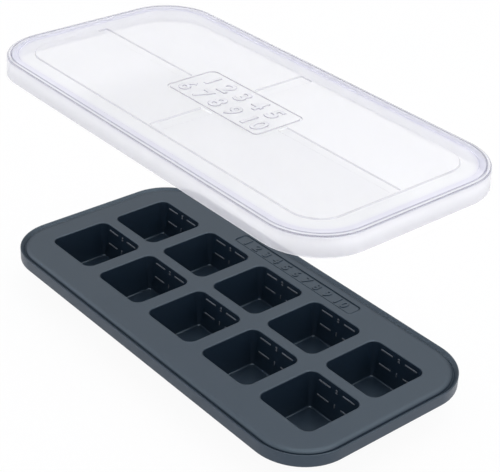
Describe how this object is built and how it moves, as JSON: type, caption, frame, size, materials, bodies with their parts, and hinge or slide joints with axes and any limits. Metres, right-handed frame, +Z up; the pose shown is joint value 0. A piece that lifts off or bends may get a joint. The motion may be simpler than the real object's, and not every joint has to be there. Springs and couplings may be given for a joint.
{
  "type": "baby food freezer tray",
  "caption": "Silicone freezer tray with two rows of square cups, a wire ring inside the rim and a clear lid that lifts off.",
  "frame": {"origin": "middle of the tray, on the surface that it stands on", "axes": "+X along the tray, +Y across it towards the row of cups that is farther from the camera, +Z up"},
  "size_m": [0.2898, 0.1448, 0.1581],
  "materials": {
    "silicone": "matte",
    "steel_wire": "satin",
    "clear_plastic": "satin"
  },
  "bodies": {
    "tray": {"tray_cup_1": "silicone", "tray_cup_2": "silicone", "tray_cup_3": "silicone", "tray_cup_4": "silicone", "tray_cup_5": "silicone", "tray_cup_6": "silicone", "tray_cup_7": "silicone", "tray_cup_8": "silicone", "tray_cup_9": "silicone", "tray_cup_10": "silicone", "tray_rim": "silicone", "rim_wire": "steel_wire"},
    "lid": {"lid": "clear_plastic"}
  },
  "joints": [
    {"name": "lid_lift", "type": "slide", "parent": "tray", "child": "lid", "axis": [0, 0, 1], "range_m": [-0.13, 0.03]}
  ]
}
